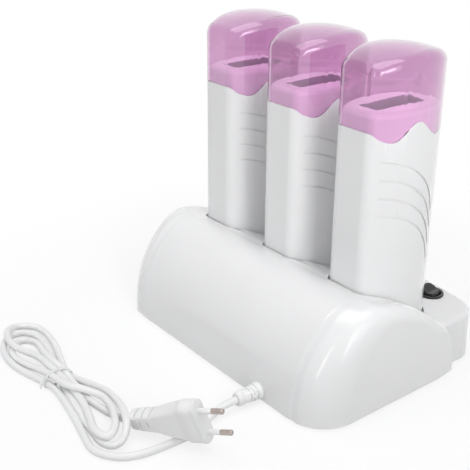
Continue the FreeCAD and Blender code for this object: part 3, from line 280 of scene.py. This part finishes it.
class Paint:
    """A material or a world, and the one method that adds any node to it."""

    def __init__(self, owner):
        self.owner = owner
        owner.use_nodes = True
        self.tree = owner.node_tree
        self.tree.nodes.clear()

    def add(self, kind, settings=None, sockets=None, out=0):
        node = self.tree.nodes.new(kind)
        for key, value in (settings or {}).items():
            setattr(node, key, value)
        for key, value in (sockets or {}).items():
            if isinstance(value, Field):
                self.tree.links.new(value.socket, node.inputs[key])
            else:
                node.inputs[key].default_value = value
        return Field(self, node.outputs[out]) if node.outputs else None

    def place(self):
        return self.add("ShaderNodeTexCoord", None, None, "Object")

    def noise(self, scale, detail=2.0, vector=None):
        return self.add("ShaderNodeTexNoise", None, {
            "Vector": vector or self.place(), "Scale": scale, "Detail": detail})

    def blend(self, share, first, second):
        """Mixes two colours."""
        return self.add("ShaderNodeMix", {"data_type": "RGBA"}, {0: share, 6: first, 7: second}, 2)

    def bump(self, height, depth, strength=1.0):
        return self.add("ShaderNodeBump", None, {"Height": height, "Distance": depth, "Strength": strength})

    def surface(self, shader):
        self.add("ShaderNodeOutputMaterial", None, {"Surface": shader})
        return self.owner


def new_paint(name):
    return Paint(bpy.data.materials.new(name))


def tone(colour, share):
    return [share * c for c in colour[:3]] + [1.0]


def moulded(name, colour, rough, coat=0.0, peel=900.0, peel_depth=0.000008, wear=0.05, speck=0.02):
    """Injection-moulded plastic: faint tone drift, orange peel, and patches dulled by hands."""
    paint = new_paint(name)
    around = paint.place()
    drift = paint.noise(11.0, 3.0, around)
    base = paint.blend(drift.ramp(0.35, 0.7), tone(colour, 1.0), tone(colour, 1.0 - speck))
    handled = paint.noise(46.0, 4.0, around).ramp(0.5, 0.75)
    skin = paint.noise(peel, 2.0, around)
    shader = paint.add("ShaderNodeBsdfPrincipled", None, {
        "Base Color": base, "Roughness": rough + handled * wear, "Coat Weight": coat,
        "Coat Roughness": 0.04, "Normal": paint.bump(skin, peel_depth)})
    return paint.surface(shader)


def metal(name, colour, rough):
    """Metal with drawn lines and tarnish in patches."""
    paint = new_paint(name)
    around = paint.place()
    drawn = paint.add("ShaderNodeTexNoise", None, {
        "Vector": paint.add("ShaderNodeMapping", None, {"Vector": around, "Scale": (1.0, 1.0, 0.08)}),
        "Scale": 700.0, "Detail": 2.0})
    dull = paint.noise(160.0, 4.0, around).ramp(0.45, 0.75)
    base = paint.blend(dull, tone(colour, 1.0), tone(colour, 0.8))
    shader = paint.add("ShaderNodeBsdfPrincipled", None, {
        "Base Color": base, "Metallic": 1.0, "Roughness": rough + drawn * 0.12 + dull * 0.14,
        "Normal": paint.bump(drawn, 0.00001)})
    return paint.surface(shader)


def rubber(name, colour):
    paint = new_paint(name)
    grain = paint.noise(1800.0, 3.0)
    dust = paint.noise(90.0, 4.0).ramp(0.5, 0.8)
    base = paint.blend(dust * 0.5, tone(colour, 1.0), tone(colour, 1.7))
    shader = paint.add("ShaderNodeBsdfPrincipled", None, {
        "Base Color": base, "Roughness": 0.62 + grain * 0.2, "Normal": paint.bump(grain, 0.00006)})
    return paint.surface(shader)


def clear_pink(name, colour):
    """Tinted clear plastic: it bends light, and lets the shadow rays through."""
    paint = new_paint(name)
    around = paint.place()
    ripple = paint.noise(60.0, 2.0, around)
    hand = paint.noise(38.0, 4.0, around).ramp(0.5, 0.8)
    glass = paint.add("ShaderNodeBsdfPrincipled", None, {
        "Base Color": tone(colour, 1.0), "Roughness": 0.02 + hand * 0.03, "IOR": 1.49,
        "Transmission Weight": 1.0, "Coat Weight": 0.7, "Coat Roughness": 0.02,
        "Normal": paint.bump(ripple, 0.00002, 0.6)})
    light = paint.add("ShaderNodeBsdfTransparent", None, {"Color": (1.0, 0.985, 0.998, 1)})
    shadow = paint.add("ShaderNodeLightPath", None, None, "Is Shadow Ray")
    return paint.surface(paint.add("ShaderNodeMixShader", None, {0: shadow, 1: glass, 2: light}))


FINISHES = {}


def dress(piece, slot_name):
    piece.data.materials.clear()
    piece.data.materials.append(FINISHES[slot_name])


def fit_out(piece, body, slot_name, *nodes):
    """The piece rides on its body, takes its finish, and stands for its nodes."""
    dress(piece, slot_name)
    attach(piece, body)
    if nodes:
        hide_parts(*nodes)
    return piece


def place_in_scene(name, data):
    piece = bpy.data.objects.new(name, data)
    bpy.context.scene.collection.objects.link(piece)
    return piece


def alone(piece):
    """Makes the piece the only one that is selected, and active."""
    bpy.ops.object.select_all(action="DESELECT")
    piece.select_set(True)
    bpy.context.view_layer.objects.active = piece


def smooth_copy(node, name, angle, flat):
    """A merged copy of a node's mesh, shaded as the smooth moulding it is."""
    mesh = NODES[node].data.copy()
    mesh.name = name
    piece = place_in_scene(name, mesh)
    alone(piece)
    bpy.ops.object.mode_set(mode="EDIT")
    bpy.ops.mesh.select_all(action="SELECT")
    bpy.ops.mesh.remove_doubles(threshold=MERGE_GAP)
    bpy.ops.mesh.dissolve_limited(angle_limit=flat)
    bpy.ops.object.mode_set(mode="OBJECT")
    bpy.ops.object.shade_smooth_by_angle(angle=angle)
    weigh = piece.modifiers.new("even", "WEIGHTED_NORMAL")
    weigh.keep_sharp = True
    bpy.ops.object.modifier_apply(modifier=weigh.name)
    return piece


def moulding(node, slot_name, flat=FLAT_ANGLE):
    sizes = bpy.context.scene.wax_sizes
    piece = smooth_copy(node, node + "_skin", sizes.smooth_angle, flat)
    return fit_out(piece, NODES[node]["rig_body"], slot_name, node)


def pick(piece, wanted):
    """Selects the faces for which wanted(middle, normal) holds, and no others."""
    mesh = bmesh.from_edit_mesh(piece.data)
    for face in mesh.faces:
        face.select_set(wanted(face.calc_center_median(), face.normal))
    mesh.select_flush_mode()
    bmesh.update_edit_mesh(piece.data)


def grow(piece, way, rings):
    """Extrudes the end face along Z through the rings: (z, share of width, share of thickness)."""
    alone(piece)
    bpy.ops.object.mode_set(mode="EDIT")
    bpy.ops.mesh.select_mode(type="FACE")
    pick(piece, lambda middle, normal: normal.z * way > END_ON)
    for before, ring in zip(rings, rings[1:]):
        bpy.ops.mesh.extrude_region_move(TRANSFORM_OT_translate={"value": (0, 0, ring[0] - before[0])})
        bpy.ops.transform.resize(value=(ring[1] / before[1], ring[2] / before[2], 1),
                                 center_override=(0, 0, ring[0]))
    bpy.ops.object.mode_set(mode="OBJECT")


def slot_in(piece, low, high, turn, reach, depth):
    """Sinks a slot between two heights, reach degrees to each side of the given direction."""
    alone(piece)
    facing = Vector((math.cos(math.radians(turn)), math.sin(math.radians(turn))))
    near = math.cos(math.radians(reach))
    bpy.ops.object.mode_set(mode="EDIT")
    bpy.ops.mesh.select_mode(type="FACE")
    pick(piece, lambda middle, normal: low < middle.z < high and abs(normal.z) < SIDE_ON
         and middle.xy.length > 0 and middle.xy.normalized().dot(facing) > near)
    bpy.ops.mesh.inset(thickness=SLOT_RIM, depth=-depth)
    bpy.ops.object.mode_set(mode="OBJECT")


def soften(piece, width):
    """Rounds the sharp edges and shades the rest as one."""
    alone(piece)
    bevel = piece.modifiers.new("round", "BEVEL")
    bevel.width = width
    bevel.segments = 2
    bevel.limit_method = "ANGLE"
    bevel.angle_limit = SOFT_EDGE
    bpy.ops.object.modifier_apply(modifier=bevel.name)
    bpy.ops.object.shade_smooth_by_angle(angle=SOFT_SHADE)


def nurbs(name, points, ring=False):
    """A curve with one line along the points: a flat closed ring, or a line that reaches its ends."""
    curve = bpy.data.curves.new(name, "CURVE")
    curve.dimensions = "2D" if ring else "3D"
    line = curve.splines.new("NURBS")
    line.points.add(len(points) - 1)
    for point, place in zip(line.points, points):
        point.co = (*place, 1)
    line.order_u = CURVE_ORDER
    line.use_cyclic_u = ring
    line.use_endpoint_u = not ring
    return curve


# ---------------------------------------------------------------- stage

class WAX_OT_stage(bpy.types.Operator):
    """Pale floor, soft lamps, room light and camera"""
    bl_idname = "wax.stage"
    bl_label = "Stage"

    def execute(self, context):
        bpy.ops.object.select_all(action="DESELECT")
        bpy.ops.mesh.primitive_plane_add(size=FLOOR_SIZE)
        floor = context.object
        floor.name = "floor"
        floor.data.materials.append(self.floor_paint())
        self.lamps()
        self.room(context)
        self.camera(context)
        context.scene.view_settings.view_transform = "Standard"
        return {"FINISHED"}

    def seen(self, paint):
        """1 for rays that show the background: straight, mirrored or through glass."""
        kinds = [paint.add("ShaderNodeLightPath", None, None, "Is %s Ray" % kind)
                 for kind in ("Camera", "Glossy", "Transmission")]
        return (kinds[0] + kinds[1]).math("ADD", kinds[2], clamp=True)

    def floor_paint(self):
        paint = new_paint("floor_white")
        far = paint.add("ShaderNodeVectorMath", {"operation": "LENGTH"}, {0: paint.place()}, "Value")
        shown = self.seen(paint)
        lit = paint.add("ShaderNodeBsdfDiffuse", None, {
            "Color": paint.blend(shown, FLOOR_BOUNCE, FLOOR_SHOWN)})
        glow = paint.add("ShaderNodeEmission", None, {"Color": (1, 1, 1, 1), "Strength": 1.0})
        share = (far.ramp(GLOW_FROM, GLOW_FULL) * (1 - FLOOR_GLOW) + FLOOR_GLOW) * shown
        return paint.surface(paint.add("ShaderNodeMixShader", None, {0: share, 1: lit, 2: glow}))

    def lamps(self):
        for name, place, aim, size, power, spread, mirrored in LAMPS:
            lamp = bpy.data.lights.new(name, "AREA")
            lamp.shape = "RECTANGLE"
            lamp.spread = math.radians(spread)
            lamp.size, lamp.size_y = size
            lamp.energy = power
            holder = place_in_scene(name, lamp)
            holder.visible_glossy = mirrored
            holder.location = place
            holder.rotation_euler = (Vector(aim) - Vector(place)).to_track_quat("-Z", "Y").to_euler()

    def room(self, context):
        world = bpy.data.worlds.new("soft_room")
        context.scene.world = world
        paint = Paint(world)
        lit = paint.add("ShaderNodeBackground", None, {
            "Color": (0.98, 0.985, 1, 1), "Strength": ROOM_LIGHT})
        shown = paint.add("ShaderNodeBackground", None, {"Color": (1, 1, 1, 1), "Strength": 1.0})
        mix = paint.add("ShaderNodeMixShader", None, {0: self.seen(paint), 1: lit, 2: shown})
        paint.add("ShaderNodeOutputWorld", None, {"Surface": mix})

    def camera(self, context):
        camera = bpy.data.cameras.new("camera")
        camera.sensor_width = CAMERA_SENSOR
        camera.lens = CAMERA_LENS
        camera.clip_start = 0.01
        holder = place_in_scene("camera", camera)
        holder.location = CAMERA_PLACE
        holder.rotation_euler = [math.radians(angle) for angle in CAMERA_TURN]
        context.scene.camera = holder


# ---------------------------------------------------------------- finishes

class WAX_OT_finishes(bpy.types.Operator):
    """Finishes of every moulded, metal and rubber piece"""
    bl_idname = "wax.finishes"
    bl_label = "Finishes"

    def execute(self, context):
        colours = context.scene.wax_colours
        FINISHES.update({
            "white_gloss": moulded("white_gloss", colours.white, 0.13, 0.9),
            "white_satin": moulded("white_satin", colours.satin, 0.36, peel=1400.0, peel_depth=0.00003),
            "pink_clear": clear_pink("pink_clear", colours.pink),
            "grey_rubber": rubber("grey_rubber", colours.rubber),
            "screw_steel": metal("screw_steel", (0.56, 0.56, 0.58), 0.24),
            "black_plastic": moulded("black_plastic", colours.black, 0.26, 0.15, wear=0.08),
            "contact_brass": metal("contact_brass", (0.83, 0.62, 0.30), 0.2),
            "lead_insulation": moulded("lead_insulation", (0.42, 0.08, 0.05), 0.42),
            "cord_white": moulded("cord_white", colours.lead, 0.28, 0.25, peel=1600.0, peel_depth=0.00003,
                                  wear=0.1),
            "tie_white": moulded("tie_white", (0.88, 0.88, 0.88), 0.25, 0.3),
            "pin_nickel": metal("pin_nickel", (0.46, 0.40, 0.37), 0.13),
            "aluminium": metal("aluminium", (0.75, 0.75, 0.77), 0.28),
            # a white lighter than the shells': painted light for the necks, which are lit through the lids
            "neck_white_painted_light": moulded("neck_white_painted_light", (0.93, 0.93, 0.94), 0.2, 0.3),
            # the moulded white made darker: painted shade for the heaters' grooves
            "groove_painted_shade": moulded("groove_painted_shade", tone(colours.white, 0.62), 0.3, speck=0.1),
            # a darker grey for the necks' slots: painted shade, partly standing for the darker liner
            "slot_liner_and_painted_shade": moulded("slot_liner_and_painted_shade", (0.50, 0.46, 0.51), 0.2, 0.4, wear=0.1, speck=0.15),
            "element_ceramic": moulded("element_ceramic", (0.62, 0.50, 0.34), 0.6, speck=0.12),
            "lamp_red": moulded("lamp_red", (0.62, 0.03, 0.02), 0.1, 0.5)})
        for part in frame["record"]["subparts"]:
            dress(NODES[part["node"]], part["material_slot"])
        return {"FINISHED"}


# ---------------------------------------------------------------- base and heaters

class WAX_OT_base(bpy.types.Operator):
    """Smooth housing, its dock cups, the round switch and the strain relief"""
    bl_idname = "wax.base"
    bl_label = "Base"

    def execute(self, context):
        moulding("base_housing", "white_gloss", 2 * FLAT_ANGLE)
        moulding("bottom_plate", "white_satin")
        moulding("switch_case", "black_plastic")
        self.raise_rocker(moulding("switch_rocker", "black_plastic"))
        self.relief()
        for index in HEATERS:
            moulding("dock_%d_tub" % index, "white_gloss")
            moulding("dock_%d_block" % index, "white_satin")
        return {"FINISHED"}

    def raise_rocker(self, rocker):
        """Draws the cap up and in by steps: the pressed-up half stands proud, and both clear the well."""
        alone(rocker)
        bpy.ops.object.mode_set(mode="EDIT")
        bpy.ops.mesh.select_mode(type="VERT")
        for level in ROCKER_LEVELS:
            mesh = bmesh.from_edit_mesh(rocker.data)
            for corner in mesh.verts:
                corner.select_set(corner.co.z > level)
            mesh.select_flush_mode()
            bmesh.update_edit_mesh(rocker.data)
            bpy.ops.transform.resize(value=ROCKER_STEP, center_override=(*ROCKER_AT, level))
        bpy.ops.object.mode_set(mode="OBJECT")
        bpy.ops.object.shade_smooth_by_angle(angle=ROCKER_SHADE)

    def relief(self):
        """The round flange, the slotted sleeve and its thick rim, on the neck inside the wall."""
        start, after = RELIEF_RINGS[:2]
        bpy.ops.object.select_all(action="DESELECT")
        bpy.ops.mesh.primitive_cylinder_add(vertices=48, radius=start[1], depth=after[0] - start[0],
                                            location=(0, 0, (start[0] + after[0]) / 2))
        piece = bpy.context.object
        piece.name = "strain_relief_sleeve"
        bpy.ops.object.transform_apply(location=True)
        shares = [(along, radius / start[1]) for along, radius in RELIEF_RINGS[1:]]
        grow(piece, 1, [(along, share, share) for along, share in shares])
        for count, along in enumerate(RELIEF_SLOTS):
            for turn in (0, 90, 180, 270):
                slot_in(piece, along - RELIEF_HALF, along + RELIEF_HALF, turn + 45 * (count % 2),
                        RELIEF_REACH, RELIEF_DEPTH)
        soften(piece, 0.00022)
        piece.data.transform(Matrix.Translation(RELIEF_AT) @ Matrix.Rotation(math.radians(-90), 4, "X"))
        fit_out(piece, "base", "white_satin", "strain_relief")


class WAX_OT_heaters(bpy.types.Operator):
    """The three heaters' shells and necks"""
    bl_idname = "wax.heaters"
    bl_label = "Heaters"

    def execute(self, context):
        for index in HEATERS:
            self.shade_grooves(moulding("heater_%d_shell" % index, "white_gloss"))
            self.paint_neck_light_and_slot_shade(moulding("heater_%d_neck" % index, "white_gloss"), index)
            moulding("heater_%d_foot" % index, "white_satin")
        return {"FINISHED"}

    def shade_grooves(self, shell):
        """The moulded grooves' flanks are painted a shade darker: painted shade in the grooves."""
        shell.data.materials.append(FINISHES["groove_painted_shade"])
        for face in shell.data.polygons:
            # faces on the groove flanks take the painted shade
            if GROOVES_LOW < face.center.z < GROOVES_HIGH and abs(face.normal.z) > GROOVE_TILT:
                face.material_index = 1

    def paint_neck_light_and_slot_shade(self, neck, index):
        """The neck gets a lighter white (painted light); the slot's walls inward of the rim get painted
        shade, partly for the liner.
        """
        low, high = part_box("heater_%d_neck" % index)
        axis = (Vector(low) + Vector(high)).xy / 2
        # the neck's lighter white is painted light, for the light that reaches it through the lid
        dress(neck, "neck_white_painted_light")
        # the slot's inner walls below the rim take the painted shade
        neck.data.materials.append(FINISHES["slot_liner_and_painted_shade"])
        for face in neck.data.polygons:
            inward = (face.center.xy - axis).dot(face.normal.xy) < 0
            if inward and abs(face.normal.z) < SIDE_ON and face.center.z < high[2] - NECK_RIM:
                face.material_index = 1


class WAX_OT_lids(bpy.types.Operator):
    """The three clear pink lids"""
    bl_idname = "wax.lids"
    bl_label = "Lids"

    def execute(self, context):
        for index in HEATERS:
            moulding("heater_%d_lid" % index, "pink_clear")
        return {"FINISHED"}


# ---------------------------------------------------------------- lead, tie and plug

class WAX_OT_lead(bpy.types.Operator):
    """The mains lead with its hank, the tie, and the plug on its end"""
    bl_idname = "wax.lead"
    bl_label = "Lead and Plug"

    def execute(self, context):
        sizes = context.scene.wax_sizes
        plug = self.plug()
        pins = moulding("plug_pins", "pin_nickel")
        tie = self.tie(sizes)
        lead = self.lead(sizes)
        return {"FINISHED"}

    def plug(self):
        """Flat two-pin plug: face plate, head, waist, shoulder, slotted tail and pin sleeves."""
        wide, thick = PLUG_RINGS[0][1:]
        bpy.ops.object.select_all(action="DESELECT")
        bpy.ops.mesh.primitive_cube_add(
            size=1, location=(0, 0, -PLATE_THICK / 2), scale=(wide, thick, PLATE_THICK))
        piece = bpy.context.object
        piece.name = "plug_moulding"
        bpy.ops.object.transform_apply(location=True, scale=True)
        bpy.ops.object.mode_set(mode="EDIT")
        bpy.ops.mesh.select_mode(type="EDGE")
        self.pick_edges(piece, lambda run, middle: abs(run.x) > 0.001)
        bpy.ops.mesh.subdivide(number_cuts=5)
        self.pick_edges(piece, lambda run, middle: abs(run.z) > 0.0003 and abs(middle.x) > 0.49 * wide)
        bpy.ops.mesh.bevel(offset=PLUG_CORNER * thick, segments=10, affect="EDGES")
        bpy.ops.object.mode_set(mode="OBJECT")
        rings = [(along, w / wide, t / thick) for along, w, t in PLUG_RINGS]
        slots = []
        along = TAIL_FROM
        while along - TAIL_STEP > TAIL_TO + 0.001:
            slots.append(along)
            for place in (along, along - TAIL_SLOT):
                share = (place - TAIL_FROM) / (TAIL_TO - TAIL_FROM)
                rings.append((place, (TAIL_WIDE[0] + share * (TAIL_WIDE[1] - TAIL_WIDE[0])) / wide,
                              (TAIL_THICK[0] + share * (TAIL_THICK[1] - TAIL_THICK[0])) / thick))
            along -= TAIL_STEP
        for above, shrink in TAIL_END:
            rings.append((TAIL_TO + above, shrink * TAIL_WIDE[1] / wide, shrink * TAIL_THICK[1] / thick))
        grow(piece, -1, rings)
        for count, along in enumerate(slots):
            turns, reach = ((90, 270), 30) if count % 2 else ((0, 180), 50)
            for turn in turns:
                slot_in(piece, along - TAIL_SLOT, along, turn, reach, TAIL_DEPTH)
        sleeves = [self.sleeve(side * PIN_GAP / 2) for side in (-1, 1)]
        soften(piece, 0.0003)
        alone(piece)
        for sleeve in sleeves:
            sleeve.select_set(True)
        bpy.ops.object.join()
        way = Vector(PLUG_WAY).normalized()
        side = Vector(PLUG_SIDE)
        side = (side - way * side.dot(way)).normalized()
        place = Matrix((side, way.cross(side), way)).transposed().to_4x4()
        piece.data.transform(Matrix.Translation(PLUG_FACE) @ place)
        return fit_out(piece, "base", "white_satin", "plug_body")

    def pick_edges(self, piece, wanted):
        """Selects the edges for which wanted(run, middle) holds, and no others."""
        mesh = bmesh.from_edit_mesh(piece.data)
        for edge in mesh.edges:
            ends = [corner.co for corner in edge.verts]
            edge.select_set(wanted(ends[1] - ends[0], (ends[0] + ends[1]) / 2))
        bmesh.update_edit_mesh(piece.data)

    def sleeve(self, across):
        """The white sleeve on a pin, with a bore that the pin's stud fills."""
        bpy.ops.object.select_all(action="DESELECT")
        bpy.ops.mesh.primitive_cylinder_add(
            vertices=32, radius=SLEEVE_RADIUS, depth=SLEEVE_LONG + 2 * SLEEVE_SUNK,
            location=(across, 0, SLEEVE_LONG / 2 - SLEEVE_SUNK))
        piece = bpy.context.object
        bpy.ops.object.transform_apply(location=True)
        bpy.ops.object.mode_set(mode="EDIT")
        bpy.ops.mesh.select_mode(type="FACE")
        pick(piece, lambda middle, normal: normal.z > END_ON)
        bpy.ops.mesh.inset(thickness=SLEEVE_RADIUS - SLEEVE_BORE)
        bpy.ops.mesh.extrude_region_move(TRANSFORM_OT_translate={"value": (0, 0, -SLEEVE_LONG)})
        bpy.ops.object.mode_set(mode="OBJECT")
        soften(piece, 0.00015)
        return piece

    def lead(self, sizes):
        curve = nurbs("lead", LEAD_ROUTE)
        curve.resolution_u = 6
        curve.bevel_depth = sizes.lead_diameter / 2
        curve.bevel_resolution = sizes.lead_sides
        curve.use_fill_caps = True
        return fit_out(place_in_scene("lead", curve), "base", "cord_white", "cord_lead", "cord_hank")

    def tie(self, sizes):
        """The flat band round the hank, with its two ends twisted in front."""
        curve = nurbs("tie", [(*place, 0) for place in TIE_LOOP], ring=True)
        curve.fill_mode = "NONE"
        curve.resolution_u = 8
        curve.extrude = sizes.tie_width / 2 - TIE_THICK
        curve.bevel_depth = TIE_THICK
        curve.bevel_resolution = 2
        tie = self.solid("tie", curve)
        tie.data.transform(Matrix(((0, 0, 1, sizes.tie_x), (1, 0, 0, 0), (0, 1, 0, 0), (0, 0, 0, 1))))
        ends = [self.tie_strand(turn) for turn in (0, math.pi)]
        alone(tie)
        for end in ends:
            end.select_set(True)
        bpy.ops.object.join()
        bpy.ops.object.shade_smooth_by_angle(angle=sizes.smooth_angle)
        return fit_out(tie, "base", "tie_white", "cord_tie")

    def tie_strand(self, turn):
        """One of the two ends that are twisted round each other in front of the hank."""
        points = []
        for count in range(END_POINTS):
            share = count / (END_POINTS - 1) * (len(TIE_END) - 1)
            first = min(int(share), len(TIE_END) - 2)
            middle = Vector(TIE_END[first]).lerp(Vector(TIE_END[first + 1]), share - first)
            spin = turn + count / END_POINTS * END_TURNS * 2 * math.pi
            across, up = math.cos(spin), END_FLAT * math.sin(spin)
            points.append(middle + Vector((across, up, up)) * END_APART)
        curve = nurbs("tie_end", points)
        curve.bevel_depth = END_RADIUS
        curve.bevel_resolution = 3
        curve.use_fill_caps = True
        return self.solid("tie_end", curve)

    def solid(self, name, curve):
        """The curve as a mesh in the scene."""
        alone(place_in_scene(name, curve))
        bpy.ops.object.convert(target="MESH")
        return bpy.context.object


# ---------------------------------------------------------------- panel

class WAX_PT_sidebar(bpy.types.Panel):
    """Steps that build the wax heater set"""
    bl_idname = "WAX_PT_sidebar"
    bl_label = "Wax Heater Set"
    bl_space_type = "VIEW_3D"
    bl_region_type = "UI"
    bl_category = "Wax Heater"

    def draw(self, context):
        layout = self.layout
        for group in (context.scene.wax_sizes, context.scene.wax_colours):
            for key in group.bl_rna.properties.keys():
                if key not in ("rna_type", "name"):
                    layout.prop(group, key)
        for step in STEPS:
            layout.operator(step.bl_idname)


STEPS = (WAX_OT_stage, WAX_OT_finishes, WAX_OT_base, WAX_OT_heaters, WAX_OT_lids, WAX_OT_lead)
CLASSES = (WaxSizes, WaxColours) + STEPS + (WAX_PT_sidebar,)


def register():
    for kind in CLASSES:
        bpy.utils.register_class(kind)
    bpy.types.Scene.wax_sizes = PointerProperty(type=WaxSizes)
    bpy.types.Scene.wax_colours = PointerProperty(type=WaxColours)


def unregister():
    del bpy.types.Scene.wax_colours
    del bpy.types.Scene.wax_sizes
    for kind in reversed(CLASSES):
        bpy.utils.unregister_class(kind)


def main():
    register()
    bpy.ops.wax.stage()
    bpy.ops.wax.finishes()
    bpy.ops.wax.base()
    bpy.ops.wax.heaters()
    bpy.ops.wax.lids()
    bpy.ops.wax.lead()


if __name__ == "__main__":
    main()
